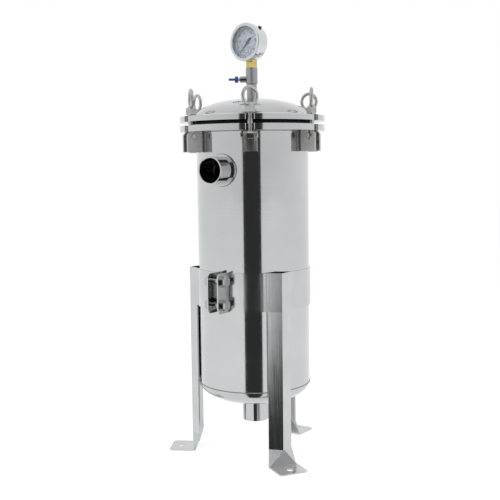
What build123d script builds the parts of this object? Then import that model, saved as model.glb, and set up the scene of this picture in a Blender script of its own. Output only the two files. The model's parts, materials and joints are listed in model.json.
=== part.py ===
"""Stainless bag filter housing with a swing-bolt lid, on three bent sheet legs.

Millimetres, +Z up. The origin is on the floor, on the vessel's axis. An azimuth is measured about +Z from
the front, which is -Y, and grows towards +X.
"""

from build123d import *
from math import cos, hypot, radians, sin, sqrt
import os

# Vessel: a rolled shell between a dished bottom and a bolted flange
SHELL_R = 102.0
SHELL_WALL = 2.0
SEAM_Z = 132.0
BODY_FLANGE_Z = 592.0
FLANGE_W = 30.0
FLANGE_T = 11.0
GASKET_T = 6.5
GASKET_OUT = 9.0
GASKET_LAP = 1.0
BOTTOM_DEPTH = 39.0
DOME_RISE = 32.0
EDGE_BREAK = 0.8

# Pipe ends
PIPE_R = 24.15
PIPE_WALL = 2.8
INLET_AZIMUTH = -30.0
INLET_Z = 524.0
INLET_OUT = 38.0
INLET_COLLAR_W = 3.6
INLET_COLLAR_H = 2.5
OUTLET_Z = 58.0
PIPE_LIP = 0.6

# Swing bolts round the flanges
BOLTS = 6
BOLT_OUT = 20.0
SLOT_R = 6.5
SLOT_DEEPER = 3.75
SLOT_MOUTH = 2.0
ROD_R = 5.0
PIVOT_DROP = 8.5
EYE_R = 8.2
EYE_T = 11.0
PIN_R = 4.0
PIN_HEAD_R = 5.2
PIN_HEAD_T = 2.2
PIN_TAIL = 6.0
COTTER_R = 1.0
COTTER_TAIL = 4.0
COTTER_LOOP_R = 2.0
COTTER_LOOP_T = 1.6
RUN_FIT = 0.05
BRACKET_GAP = 12.5
BRACKET_PLATE = 5.0
BRACKET_OUT = 32.0
BRACKET_H = 36.0
BRACKET_BEND = 7.0
BRACKET_CORNER = 6.0
NUT_ACROSS = 17.0
NUT_H = 11.6
NUT_SEAT_GAP = 0.4
BEVEL_LEAD = 0.8
NUT_CHAMFER = 0.9
RING_R = 15.0
RING_BAR_R = 3.0
RING_SINK = 1.5
RING_TURNS = [40.0, 30.0, 32.0, -75.0, 60.0, -16.0]

# Lid fittings, up the middle
NIPPLE_R = 9.0
BORE_R = 6.0
TEE_R = 10.6
TEE_Z = 678.5
TEE_H = 29.0
STEM_ACROSS = 14.0
VENT_AZIMUTH = -90.0
VENT_Z = 687.0
VENT_R = 5.7
VENT_REACH = 21.5
VENT_STEM_R = 2.6
VENT_STEM_DEPTH = 4.0
VENT_NECK = 3.2
HUB_R = 5.8
HUB_L = 6.0
TONGUE_L = 11.0
TONGUE_W = 9.0
TONGUE_T = 3.6

# Pressure gauge
GAUGE_AZIMUTH = -38.0
GAUGE_Z = 752.0
CASE_R = 31.5
CASE_WALL = 1.5
CASE_BACK = -8.0
CASE_FRONT = 15.0
BEZEL_R = 34.0
BEZEL_FRONT = 20.0
BEZEL_SKIRT = 5.0
LIP_R = 28.5
LENS_T = 2.0
DIAL_Z = 8.0
DIAL_T = 1.0
POINTER_L = 22.0
POINTER_TAIL = 10.0
POINTER_T = 0.8
POINTER_ZERO = 225.0
POINTER_HUB_R = 3.0
SPINDLE_R = 1.2
SPINDLE_H = 3.2
PLUG_R = 3.4
PLUG_H = 3.0
PLUG_TURN = 40.0

# Inside: the seat, the perforated basket and the felt bag
SEAT_Z = 484.0
SEAT_T = 6.0
SEAT_LEDGE = 10.0
BASKET_SIDE_GAP = 2.0
BASKET_WALL = 1.5
BASKET_BOTTOM_Z = 152.0
RIM_SIDE_GAP = 3.0
RIM_T = 4.0
HOLE_R = 9.0
HOLE_ROWS = 5
HOLE_COLUMNS = 10
BAIL_H = 46.0
BAIL_BAR_R = 2.5
BAIL_BEND = 26.0
BAG_SIDE_GAP = 2.5
BAG_WALL = 3.0
BAG_FLOOR_GAP = 2.0
BAG_ROUND = 20.0
BAG_RING_INSET = 6.5
BAG_RING_T = 5.0

# Stand: three legs, each one sheet with its part of the band, drawn together by a clamp
LEGS = ("leg_left", "leg_front", "leg_rear")
LEG_AZIMUTH = -94.0
SHEET_T = 2.5
BAND_Z = 277.0
BAND_H = 68.0
LEG_DEPTH = 18.0
LEG_EDGE_HALF = 22.3
LEG_TIP_HALF = 1.2
FOOT_FOLD_Z = 31.0
FOOT_HALF = 26.5
FOOT_LAP = 5.0
FOOT_L = 46.0
FOOT_CORNER = 6.0
FOOT_HOLE_R = 6.0
FOOT_HOLE_INSET = 18.0
CLAMP_AZIMUTH = -30.0
EAR_GAP = 18.4
EAR_OUT = 35.0
EAR_EXTRA = 1.0
EAR_ROUND = 8.0
CLAMP_BOLT_R = 5.0
CLAMP_BOLT_OUT = 19.0
CLAMP_BOLT_PITCH = 41.2
CLAMP_BOLT_CLEAR = 0.4
CLAMP_HEX = 17.0
CLAMP_HEAD_H = 6.4
CLAMP_NUT_H = 8.0
CLAMP_END = 2.5
WASHER_R = 10.0
WASHER_T = 2.0

# Levels and sizes that follow
SHELL_IN_R = SHELL_R - SHELL_WALL
FLANGE_R = SHELL_R + FLANGE_W
GASKET_R = SHELL_R + GASKET_OUT
GASKET_IN_R = SHELL_R - GASKET_LAP
INLET_REACH = SHELL_R + INLET_OUT
BOLT_CIRCLE_R = SHELL_R + BOLT_OUT
BRACKET_REACH = SHELL_R + BRACKET_OUT
SEAT_IN_R = SHELL_IN_R - SEAT_LEDGE
BASKET_R = SEAT_IN_R - BASKET_SIDE_GAP
RIM_R = SHELL_IN_R - RIM_SIDE_GAP
BAG_R = BASKET_R - BASKET_WALL - BAG_SIDE_GAP
BAG_RING_R = RIM_R - BAG_RING_INSET
LEG_TIP_R = SHELL_R + LEG_DEPTH
LEG_EDGE_R = SHELL_R + SHEET_T
FOOT_IN_R = LEG_TIP_R - FOOT_LAP
FOOT_OUT_R = FOOT_IN_R + FOOT_L
FOOT_HOLE_AT_R = FOOT_OUT_R - FOOT_HOLE_INSET
EAR_REACH = SHELL_R + EAR_OUT
CLAMP_BOLT_AT_R = SHELL_R + CLAMP_BOLT_OUT
BODY_FACE_Z = BODY_FLANGE_Z + FLANGE_T
LID_Z = BODY_FACE_Z + GASKET_T
LID_TOP_Z = LID_Z + FLANGE_T
DOME_TOP_Z = LID_TOP_Z + DOME_RISE
PIVOT_Z = BODY_FLANGE_Z - PIVOT_DROP
NUT_Z = LID_TOP_Z + NUT_SEAT_GAP
PIPE_IN_R = PIPE_R - PIPE_WALL
BRACKET_HALF = BRACKET_GAP / 2 + BRACKET_PLATE
TEE_TOP_Z = TEE_Z + TEE_H
RIM_Z = SEAT_Z + SEAT_T
BAND_R = SHELL_R + SHEET_T


def facing(azimuth, reach, height):
    """Upright plane that looks outward: local x runs round the vessel, local y runs up."""
    a = radians(azimuth)
    return Plane(
        origin=(reach * sin(a), -reach * cos(a), height),
        x_dir=(cos(a), sin(a), 0),
        z_dir=(sin(a), -cos(a), 0),
    )


def across(azimuth, reach, shift, height):
    """Upright plane that looks round the vessel: local x runs up, local y runs outward."""
    a = radians(azimuth)
    return Plane(
        origin=(reach * sin(a) + shift * cos(a), -reach * cos(a) + shift * sin(a), height),
        x_dir=(0, 0, 1),
        z_dir=(cos(a), sin(a), 0),
    )


def level(azimuth, height):
    """Level plane: local x runs outward at the azimuth, local y runs round the vessel."""
    a = radians(azimuth)
    return Plane(origin=(0, 0, height), x_dir=(sin(a), -cos(a), 0), z_dir=(0, 0, 1))


def save(solid, label):
    """Names a finished piece and writes it."""
    solid.label = label
    export_step(solid, f"parts/{label}.step")


def turned(solid, azimuth):
    """A copy of a piece that is modelled at the front, moved round to an azimuth."""
    return solid.rotate(Axis.Z, azimuth)


def strip(points, thickness):
    """Closed outline of a bent strip: its outer face runs through the points, its inner is on their right."""
    normals = []
    for (x1, y1), (x2, y2) in zip(points, points[1:]):
        length = hypot(x2 - x1, y2 - y1)
        normals.append(((y2 - y1) / length, (x1 - x2) / length))
    before = [normals[0]] + normals
    after = normals + [normals[-1]]
    inner = []
    for (x, y), (ax, ay), (bx, by) in zip(points, before, after):
        mitre = thickness / (1 + ax * bx + ay * by)
        inner.append((x + mitre * (ax + bx), y + mitre * (ay + by)))
    return points + inner[::-1]


def flange(height, bevel_in=FLANGE_R, bevel_drop=0.0):
    """Slotted ring round the shell. The slots are open outward, with eased mouths, and end a little deeper
    than the bolts need. Its top can fall away from a radius to its outer edge."""
    with BuildPart() as ring:
        with BuildSketch(Plane.XY.offset(height)) as outline:
            Circle(FLANGE_R)
            Circle(SHELL_R, mode=Mode.SUBTRACT)
            with PolarLocations(BOLT_CIRCLE_R - SLOT_DEEPER, BOLTS, start_angle=-90):
                Circle(SLOT_R, mode=Mode.SUBTRACT)
                Rectangle(FLANGE_R, 2 * SLOT_R, align=(Align.MIN, Align.CENTER), mode=Mode.SUBTRACT)
            mouths = outline.vertices().filter_by(lambda v: hypot(v.X, v.Y) > BOLT_CIRCLE_R + SLOT_R / 2)
            fillet(mouths, SLOT_MOUTH)
        extrude(amount=FLANGE_T)
        if bevel_drop:
            top = height + FLANGE_T
            slope = bevel_drop / (FLANGE_R - bevel_in)
            beyond = 2 * FLANGE_R - bevel_in
            with BuildSketch(Plane.XZ):
                with BuildLine():
                    foot = top - slope * (beyond - bevel_in)
                    Polyline((bevel_in, top), (beyond, top), (beyond, foot), close=True)
                make_face()
            revolve(axis=Axis.Z, mode=Mode.SUBTRACT)
    return ring


def dished(plane, depth, hole_r, skirt=0.0):
    """Half-ellipsoid head with a centre hole, open at the plane's y = 0, where a straight skirt may follow."""
    inner_depth = depth - SHELL_WALL
    with BuildPart() as head:
        with BuildSketch(plane):
            with BuildLine():
                EllipticalCenterArc((0, 0), SHELL_R, depth, start_angle=0, arc_size=90)
                Line((0, depth), (0, inner_depth))
                EllipticalCenterArc((0, 0), SHELL_IN_R, inner_depth, start_angle=0, arc_size=90)
                Line((SHELL_IN_R, 0), (SHELL_R, 0))
            make_face()
            if skirt:
                with Locations((SHELL_IN_R, 0)):
                    Rectangle(SHELL_WALL, skirt, align=(Align.MIN, Align.MAX))
            Rectangle(hole_r, 2 * depth, align=(Align.MIN, Align.CENTER), mode=Mode.SUBTRACT)
        revolve(axis=Axis.Z)
    return head


os.makedirs("parts", exist_ok=True)

# Shell, with the hole that the inlet passes through
with BuildPart() as shell:
    with BuildSketch(Plane.XY.offset(SEAM_Z)):
        Circle(SHELL_R)
        Circle(SHELL_IN_R, mode=Mode.SUBTRACT)
    extrude(amount=BODY_FACE_Z - SEAM_Z)
    with BuildSketch(facing(INLET_AZIMUTH, 0, INLET_Z)):
        Circle(PIPE_R)
    extrude(amount=INLET_REACH, mode=Mode.SUBTRACT)
save(shell.part, "shell")

# Bottom head and the outlet pipe through it
bottom_plane = Plane(origin=(0, 0, SEAM_Z), x_dir=(1, 0, 0), z_dir=(0, 1, 0))
bottom_dish = dished(bottom_plane, BOTTOM_DEPTH, PIPE_R)
save(bottom_dish.part, "bottom_dish")
outlet_top_z = SEAM_Z - (BOTTOM_DEPTH - SHELL_WALL) * sqrt(1 - (PIPE_IN_R / SHELL_IN_R) ** 2)
with BuildPart() as outlet:
    with BuildSketch(Plane.XY.offset(OUTLET_Z)):
        Circle(PIPE_R)
        Circle(PIPE_IN_R, mode=Mode.SUBTRACT)
    extrude(amount=outlet_top_z - OUTLET_Z)
    chamfer(outlet.edges().group_by(Axis.Z)[0], PIPE_LIP)
save(outlet.part, "outlet_nozzle")

# Inlet pipe, flush with the shell's bore, and the collar welded round its root
with BuildPart() as inlet:
    with BuildSketch(facing(INLET_AZIMUTH, SHELL_R / 2, INLET_Z)):
        Circle(PIPE_R)
        Circle(PIPE_IN_R, mode=Mode.SUBTRACT)
    extrude(amount=INLET_REACH - SHELL_R / 2)
    with BuildSketch(Plane.XY.offset(INLET_Z - SHELL_R)):
        Circle(SHELL_IN_R)
    extrude(amount=2 * SHELL_R, mode=Mode.SUBTRACT)
    mouth = inlet.edges().filter_by(GeomType.CIRCLE).filter_by(facing(INLET_AZIMUTH, INLET_REACH, INLET_Z))
    chamfer(mouth, PIPE_LIP)
save(inlet.part, "inlet_nozzle")
with BuildPart() as inlet_collar:
    with BuildSketch(facing(INLET_AZIMUTH, SHELL_R / 2, INLET_Z)):
        Circle(PIPE_R + INLET_COLLAR_W)
        Circle(PIPE_R, mode=Mode.SUBTRACT)
    extrude(amount=SHELL_R + INLET_COLLAR_H - SHELL_R / 2)
    with BuildSketch(Plane.XY.offset(INLET_Z - SHELL_R)):
        Circle(SHELL_R)
    extrude(amount=2 * SHELL_R, mode=Mode.SUBTRACT)
save(inlet_collar.part, "inlet_collar")

# Flanges and the gasket between them. The lid's top edge falls away under the nuts, so that a slack nut
# clears it while its bolt swings.
body_flange = flange(BODY_FLANGE_Z)
save(body_flange.part, "body_flange")
with BuildPart() as gasket:
    with BuildSketch(Plane.XY.offset(BODY_FACE_Z)):
        Circle(GASKET_R)
        Circle(GASKET_IN_R, mode=Mode.SUBTRACT)
    extrude(amount=GASKET_T)
    fillet(gasket.edges().filter_by(GeomType.CIRCLE).group_by(SortBy.RADIUS)[-1], GASKET_T / 4)
save(gasket.part, "gasket")

nut_lever = NUT_Z - PIVOT_Z
bevel_in = BOLT_CIRCLE_R + BEVEL_LEAD * sqrt(2 * nut_lever * NUT_SEAT_GAP)
swing_reach = FLANGE_R - BOLT_CIRCLE_R
bevel_drop = nut_lever - sqrt(nut_lever**2 - swing_reach**2)
lid_flange = flange(LID_Z, bevel_in, bevel_drop)
save(lid_flange.part, "lid_flange")
dome_plane = Plane(origin=(0, 0, LID_TOP_Z), x_dir=(1, 0, 0), z_dir=(0, -1, 0))
lid_dome = dished(dome_plane, DOME_RISE, BORE_R, skirt=FLANGE_T)
save(lid_dome.part, "lid_dome")

# Brackets for the swing bolts: channels bent from plate, backs welded to the shell, tops to the flange
with BuildPart() as bracket:
    with BuildSketch(Plane.XY.offset(BODY_FLANGE_Z)) as channel:
        with Locations((0, -(SHELL_IN_R + BRACKET_REACH) / 2)):
            Rectangle(2 * BRACKET_HALF, BRACKET_REACH - SHELL_IN_R)
        fillet(channel.vertices().group_by(Axis.Y)[-1], BRACKET_BEND)
        with Locations((0, -(SHELL_R + BRACKET_PLATE))):
            Rectangle(BRACKET_GAP, BRACKET_REACH, align=(Align.CENTER, Align.MAX), mode=Mode.SUBTRACT)
        Circle(SHELL_R, mode=Mode.SUBTRACT)
    extrude(amount=-BRACKET_H)
    outer_corners = bracket.edges().filter_by(Axis.X).group_by(Axis.Y)[0].group_by(Axis.Z)[-1]
    chamfer(outer_corners, BRACKET_CORNER)
    with BuildSketch(across(0, BOLT_CIRCLE_R, -FLANGE_R / 2, PIVOT_Z)):
        Circle(PIN_R)
    extrude(amount=FLANGE_R, mode=Mode.SUBTRACT)
stations = [n * 360.0 / BOLTS for n in range(BOLTS)]
for n, azimuth in enumerate(stations, 1):
    save(turned(bracket.part, azimuth), f"bolt_bracket_{n}")

# Clevis pins, heads to the right seen from outside, with a split pin through each tail
with BuildPart() as pin:
    with BuildSketch(across(0, BOLT_CIRCLE_R, -BRACKET_HALF - PIN_TAIL, PIVOT_Z)):
        Circle(PIN_R)
    extrude(amount=2 * BRACKET_HALF + PIN_TAIL)
    chamfer(pin.edges().group_by(Axis.X)[0], PIN_R / 5)
    with BuildSketch(across(0, BOLT_CIRCLE_R, BRACKET_HALF, PIVOT_Z)):
        Circle(PIN_HEAD_R)
    extrude(amount=PIN_HEAD_T)
    fillet(pin.edges().group_by(Axis.X)[-1], PIN_HEAD_T * 0.8)
    with BuildSketch(Plane.XY.offset(PIVOT_Z - FLANGE_T)):
        with Locations((-BRACKET_HALF - PIN_TAIL / 2, -BOLT_CIRCLE_R)):
            Circle(COTTER_R)
    extrude(amount=2 * FLANGE_T, mode=Mode.SUBTRACT)
cotter_top_z = PIVOT_Z + PIN_R + COTTER_LOOP_R
with BuildPart() as cotter:
    with BuildSketch(Plane.XY.offset(PIVOT_Z - PIN_R - COTTER_TAIL)):
        with Locations((-BRACKET_HALF - PIN_TAIL / 2, -BOLT_CIRCLE_R)):
            Circle(COTTER_R)
    extrude(amount=cotter_top_z - (PIVOT_Z - PIN_R - COTTER_TAIL))
    with BuildSketch(across(0, BOLT_CIRCLE_R, -BRACKET_HALF - PIN_TAIL / 2, cotter_top_z)):
        Circle(COTTER_LOOP_R)
    extrude(amount=COTTER_LOOP_T / 2, both=True)
save(Compound([turned(pin.part, azimuth) for azimuth in stations]), "clevis_pins")
save(Compound([turned(cotter.part, azimuth) for azimuth in stations]), "split_pins")

# Swing bolts: a flat eye on the clevis pin and a rod up through the slots into the nut
with BuildPart() as swing_bolt:
    with BuildSketch(across(0, BOLT_CIRCLE_R, -EYE_T / 2, PIVOT_Z)):
        Circle(EYE_R)
    extrude(amount=EYE_T)
    with BuildSketch(Plane.XY.offset(PIVOT_Z)):
        with Locations((0, -BOLT_CIRCLE_R)):
            Circle(ROD_R)
    extrude(amount=NUT_Z + NUT_H - 2 * RING_SINK - PIVOT_Z)
    chamfer(swing_bolt.edges().group_by(Axis.Z)[-1], ROD_R / 5)
    with BuildSketch(across(0, BOLT_CIRCLE_R, -EYE_T, PIVOT_Z)):
        Circle(PIN_R + RUN_FIT)
    extrude(amount=2 * EYE_T, mode=Mode.SUBTRACT)

# Eye nuts: a hexagon with a blind thread bore and a lifting ring, each left at its own turn
for n, (azimuth, turn) in enumerate(zip(stations, RING_TURNS), 1):
    save(turned(swing_bolt.part, azimuth), f"swing_bolt_{n}")
    with BuildPart() as eye_nut:
        with BuildSketch(Plane.XY.offset(NUT_Z)):
            with Locations((0, -BOLT_CIRCLE_R)):
                RegularPolygon(NUT_ACROSS / 2, 6, major_radius=False, rotation=30)
        extrude(amount=NUT_H)
        rims = eye_nut.edges().group_by(Axis.Z)
        chamfer(rims[0] + rims[-1], NUT_CHAMFER)
        ring_z = NUT_Z + NUT_H - RING_SINK + RING_R + RING_BAR_R
        ring_centre = (0, -BOLT_CIRCLE_R, ring_z)
        ring_face = facing(turn, 0, ring_z)
        with BuildSketch(Plane(origin=ring_centre, x_dir=ring_face.x_dir, z_dir=(0, 0, -1))):
            with Locations((RING_R, 0)):
                Circle(RING_BAR_R)
        revolve(axis=Axis(ring_centre, ring_face.z_dir))
        with BuildSketch(Plane.XY.offset(NUT_Z)):
            with Locations((0, -BOLT_CIRCLE_R)):
                Circle(ROD_R + RUN_FIT)
        extrude(amount=NUT_H - RING_SINK, mode=Mode.SUBTRACT)
    save(turned(eye_nut.part, azimuth), f"eye_nut_{n}")

# Riser nipple, tee, vent valve
crown_z = LID_TOP_Z + DOME_RISE * sqrt(1 - (BORE_R / SHELL_R) ** 2)
with BuildPart() as nipple:
    with BuildSketch(Plane.XY.offset(crown_z)):
        Circle(NIPPLE_R)
        Circle(BORE_R, mode=Mode.SUBTRACT)
    extrude(amount=TEE_Z - crown_z)
save(nipple.part, "riser_nipple")
with BuildPart() as tee:
    with BuildSketch(Plane.XY.offset(TEE_Z)):
        Circle(TEE_R)
        Circle(BORE_R, mode=Mode.SUBTRACT)
    extrude(amount=TEE_H)
    chamfer(tee.edges().filter_by(GeomType.CIRCLE).group_by(SortBy.RADIUS)[-1], EDGE_BREAK)
save(tee.part, "tee")
with BuildPart() as vent_body:
    with BuildSketch(facing(VENT_AZIMUTH, 0, VENT_Z)):
        Circle(VENT_R)
    extrude(amount=VENT_REACH)
    chamfer(vent_body.edges().filter_by(GeomType.CIRCLE).sort_by(Axis.X)[0], EDGE_BREAK)
    with BuildSketch(Plane.XY.offset(TEE_Z)):
        Circle(TEE_R)
    extrude(amount=TEE_H, mode=Mode.SUBTRACT)
    with BuildSketch(facing(VENT_AZIMUTH, VENT_REACH, VENT_Z)):
        Circle(VENT_STEM_R + RUN_FIT)
    extrude(amount=-VENT_STEM_DEPTH, mode=Mode.SUBTRACT)
save(vent_body.part, "vent_body")
with BuildPart() as vent_stem:
    with BuildSketch(facing(VENT_AZIMUTH, VENT_REACH - VENT_STEM_DEPTH + EDGE_BREAK, VENT_Z)):
        Circle(VENT_STEM_R)
    extrude(amount=VENT_STEM_DEPTH - EDGE_BREAK + VENT_NECK)
save(vent_stem.part, "vent_stem")
hub_reach = VENT_REACH + VENT_NECK
with BuildPart() as vent_handle:
    with BuildSketch(facing(VENT_AZIMUTH, hub_reach, VENT_Z)):
        Circle(HUB_R)
    extrude(amount=HUB_L)
    fillet(vent_handle.edges().group_by(Axis.X)[0], HUB_L / 5)
    with BuildSketch(level(VENT_AZIMUTH, VENT_Z)) as tongue:
        with Locations((hub_reach, 0)):
            Rectangle(HUB_L + TONGUE_L, TONGUE_W, align=(Align.MIN, Align.CENTER))
        fillet(tongue.vertices().group_by(Axis.X)[0], TONGUE_W / 3)
    extrude(amount=TONGUE_T / 2, both=True)
save(vent_handle.part, "vent_handle")

# Pressure gauge. Distances along its own axis count from the stem's centre line.
gauge = facing(GAUGE_AZIMUTH, 0, GAUGE_Z)
with BuildPart() as gauge_stem:
    with BuildSketch(level(GAUGE_AZIMUTH, TEE_TOP_Z)):
        Rectangle(STEM_ACROSS, STEM_ACROSS)
    extrude(amount=GAUGE_Z - TEE_TOP_Z)
    with BuildSketch(Plane.XY.offset(TEE_TOP_Z)):
        Circle(BORE_R)
    extrude(amount=-BORE_R)
    with BuildSketch(gauge.offset(-CASE_R)):
        Circle(CASE_R)
    extrude(amount=2 * CASE_R, mode=Mode.SUBTRACT)
save(gauge_stem.part, "gauge_stem")
with BuildPart() as gauge_case:
    with BuildSketch(gauge.offset(CASE_BACK)):
        Circle(CASE_R)
    extrude(amount=CASE_FRONT - CASE_BACK)
    with BuildSketch(gauge.offset(CASE_BACK + CASE_WALL)):
        Circle(CASE_R - CASE_WALL)
    extrude(amount=CASE_FRONT - CASE_BACK, mode=Mode.SUBTRACT)
    back_rim = gauge_case.faces().sort_by(Axis(gauge.origin, gauge.z_dir))[0].edges()
    fillet(back_rim, CASE_WALL)
save(gauge_case.part, "gauge_case")
profile = Plane(origin=gauge.origin, x_dir=gauge.x_dir, z_dir=-gauge.y_dir)
lens_front = CASE_FRONT + LENS_T
with BuildPart() as bezel:
    with BuildSketch(profile):
        with BuildLine():
            Polyline(
                (CASE_R, CASE_FRONT - BEZEL_SKIRT),
                (BEZEL_R, CASE_FRONT - BEZEL_SKIRT),
                (BEZEL_R, BEZEL_FRONT),
                (LIP_R, BEZEL_FRONT),
                (LIP_R, lens_front),
                (CASE_R, lens_front),
                close=True,
            )
        make_face()
    revolve(axis=Axis(gauge.origin, gauge.z_dir))
    front_rims = bezel.faces().sort_by(Axis(gauge.origin, gauge.z_dir))[-1].edges()
    fillet(front_rims.filter_by(GeomType.CIRCLE).sort_by(SortBy.RADIUS)[-1], (BEZEL_R - LIP_R) / 3)
save(bezel.part, "gauge_bezel")
with BuildPart() as lens:
    with BuildSketch(gauge.offset(CASE_FRONT)):
        Circle(CASE_R)
    extrude(amount=LENS_T)
save(lens.part, "gauge_lens")
with BuildPart() as dial:
    with BuildSketch(gauge.offset(DIAL_Z)):
        Circle(CASE_R - CASE_WALL)
    extrude(amount=DIAL_T)
    with BuildSketch(gauge.offset(DIAL_Z + DIAL_T)):
        Circle(SPINDLE_R)
    extrude(amount=SPINDLE_H)
save(dial.part, "gauge_dial")
with BuildPart() as pointer:
    with BuildSketch(gauge.offset(DIAL_Z + DIAL_T + SPINDLE_H / 2)):
        Circle(POINTER_HUB_R)
        with Locations(Location((0, 0, 0), (0, 0, POINTER_ZERO))):
            with BuildLine():
                Polyline(
                    (POINTER_L, 0),
                    (0, POINTER_HUB_R / 3),
                    (-POINTER_TAIL, POINTER_HUB_R / 2),
                    (-POINTER_TAIL, -POINTER_HUB_R / 2),
                    (0, -POINTER_HUB_R / 3),
                    close=True,
                )
            make_face()
        Circle(SPINDLE_R + RUN_FIT, mode=Mode.SUBTRACT)
    extrude(amount=POINTER_T)
save(pointer.part, "gauge_pointer")
plug_x, plug_y = sin(radians(PLUG_TURN)), cos(radians(PLUG_TURN))
plug_axis = gauge.x_dir * plug_x + gauge.y_dir * plug_y
plug_at = (CASE_BACK + CASE_FRONT - BEZEL_SKIRT) / 2
with BuildPart() as fill_plug:
    plug_origin = gauge.origin + gauge.z_dir * plug_at
    with BuildSketch(Plane(origin=plug_origin, x_dir=gauge.z_dir, z_dir=plug_axis)):
        Circle(PLUG_R)
    extrude(amount=CASE_R + PLUG_H)
    with BuildSketch(gauge.offset(-CASE_R)):
        Circle(CASE_R)
    extrude(amount=2 * CASE_R, mode=Mode.SUBTRACT)
save(fill_plug.part, "gauge_fill_plug")

# Seat ring in the shell, and the basket that rests on it
with BuildPart() as seat:
    with BuildSketch(Plane.XY.offset(SEAT_Z)):
        Circle(SHELL_IN_R)
        Circle(SEAT_IN_R, mode=Mode.SUBTRACT)
    extrude(amount=SEAT_T)
save(seat.part, "seat_ring")
basket_in_r = BASKET_R - BASKET_WALL
hole_pitch = (RIM_Z - BASKET_BOTTOM_Z) / (HOLE_ROWS + 0.5)
with BuildPart() as basket:
    with BuildSketch(Plane.XY.offset(BASKET_BOTTOM_Z)):
        Circle(BASKET_R)
    extrude(amount=RIM_Z - BASKET_BOTTOM_Z)
    with BuildSketch(Plane.XY.offset(BASKET_BOTTOM_Z + BASKET_WALL)):
        Circle(basket_in_r)
    extrude(amount=RIM_Z - BASKET_BOTTOM_Z, mode=Mode.SUBTRACT)
    for row in range(HOLE_ROWS):
        for column in range(HOLE_COLUMNS):
            turn = (column + 0.5 * (row % 2)) * 360 / HOLE_COLUMNS
            with BuildSketch(facing(turn, 0, BASKET_BOTTOM_Z + hole_pitch * (row + 0.75))):
                Circle(HOLE_R)
            extrude(amount=FLANGE_R, mode=Mode.SUBTRACT)
save(basket.part, "basket_body")
with BuildPart() as rim:
    with BuildSketch(Plane.XY.offset(RIM_Z)):
        Circle(RIM_R)
        Circle(basket_in_r, mode=Mode.SUBTRACT)
    extrude(amount=RIM_T)
save(rim.part, "basket_rim")
bail_r = RIM_R - BAIL_BAR_R - EDGE_BREAK
bail_foot_z = RIM_Z + RIM_T
with BuildPart() as bail:
    with BuildLine() as bail_path:
        FilletPolyline(
            (-bail_r, 0, bail_foot_z),
            (-bail_r, 0, bail_foot_z + BAIL_H),
            (bail_r, 0, bail_foot_z + BAIL_H),
            (bail_r, 0, bail_foot_z),
            radius=BAIL_BEND,
        )
    with BuildSketch(Plane(origin=(-bail_r, 0, bail_foot_z), z_dir=(0, 0, 1))):
        Circle(BAIL_BAR_R)
    sweep()
save(bail.part, "basket_bail")

# Felt bag, hung by its ring on the basket's rim
with BuildPart() as bag_ring:
    with BuildSketch(Plane.XY.offset(bail_foot_z)):
        Circle(BAG_RING_R)
        Circle(BAG_R - BAG_WALL, mode=Mode.SUBTRACT)
    extrude(amount=BAG_RING_T)
    fillet(bag_ring.edges().group_by(Axis.Z)[-1], BAG_RING_T / 4)
save(bag_ring.part, "bag_ring")
bag_floor_z = BASKET_BOTTOM_Z + BASKET_WALL + BAG_FLOOR_GAP
with BuildPart() as bag:
    with BuildSketch(Plane.XY.offset(bag_floor_z)):
        Circle(BAG_R)
    extrude(amount=bail_foot_z - bag_floor_z)
    fillet(bag.edges().group_by(Axis.Z)[0], BAG_ROUND)
    offset(amount=-BAG_WALL, openings=bag.faces().sort_by(Axis.Z)[-1])
save(bag.part, "filter_bag")

# Legs. Each is one sheet: a V with its ridge outward, pressed flat into a foot below, and spread into the
# band above. The bands stop at the clamp's ears and meet edge to edge elsewhere.
leg_step = 360 / len(LEGS)
ear_out = EAR_GAP / 2 + SHEET_T
edge_slope = LEG_EDGE_HALF / (LEG_TIP_R - LEG_EDGE_R)
tip = [(LEG_TIP_R, LEG_TIP_HALF), (LEG_TIP_R, -LEG_TIP_HALF)]
root_r = SHELL_IN_R - SHEET_T
root_half = (LEG_TIP_R - root_r) * edge_slope
band_side = strip([(root_r, root_half), *tip, (root_r, -root_half)], SHEET_T)
leg_side = strip([(LEG_EDGE_R, LEG_EDGE_HALF), *tip, (LEG_EDGE_R, -LEG_EDGE_HALF)], SHEET_T)
foot_bend = FOOT_HALF - SHEET_T / 2
foot_side = [
    (FOOT_IN_R - LEG_TIP_HALF, FOOT_HALF),
    (FOOT_IN_R, foot_bend),
    (FOOT_IN_R, -foot_bend),
    (FOOT_IN_R - LEG_TIP_HALF, -FOOT_HALF),
]
foot_strip = foot_side + [(x - SHEET_T, y) for x, y in reversed(foot_side)]
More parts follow.
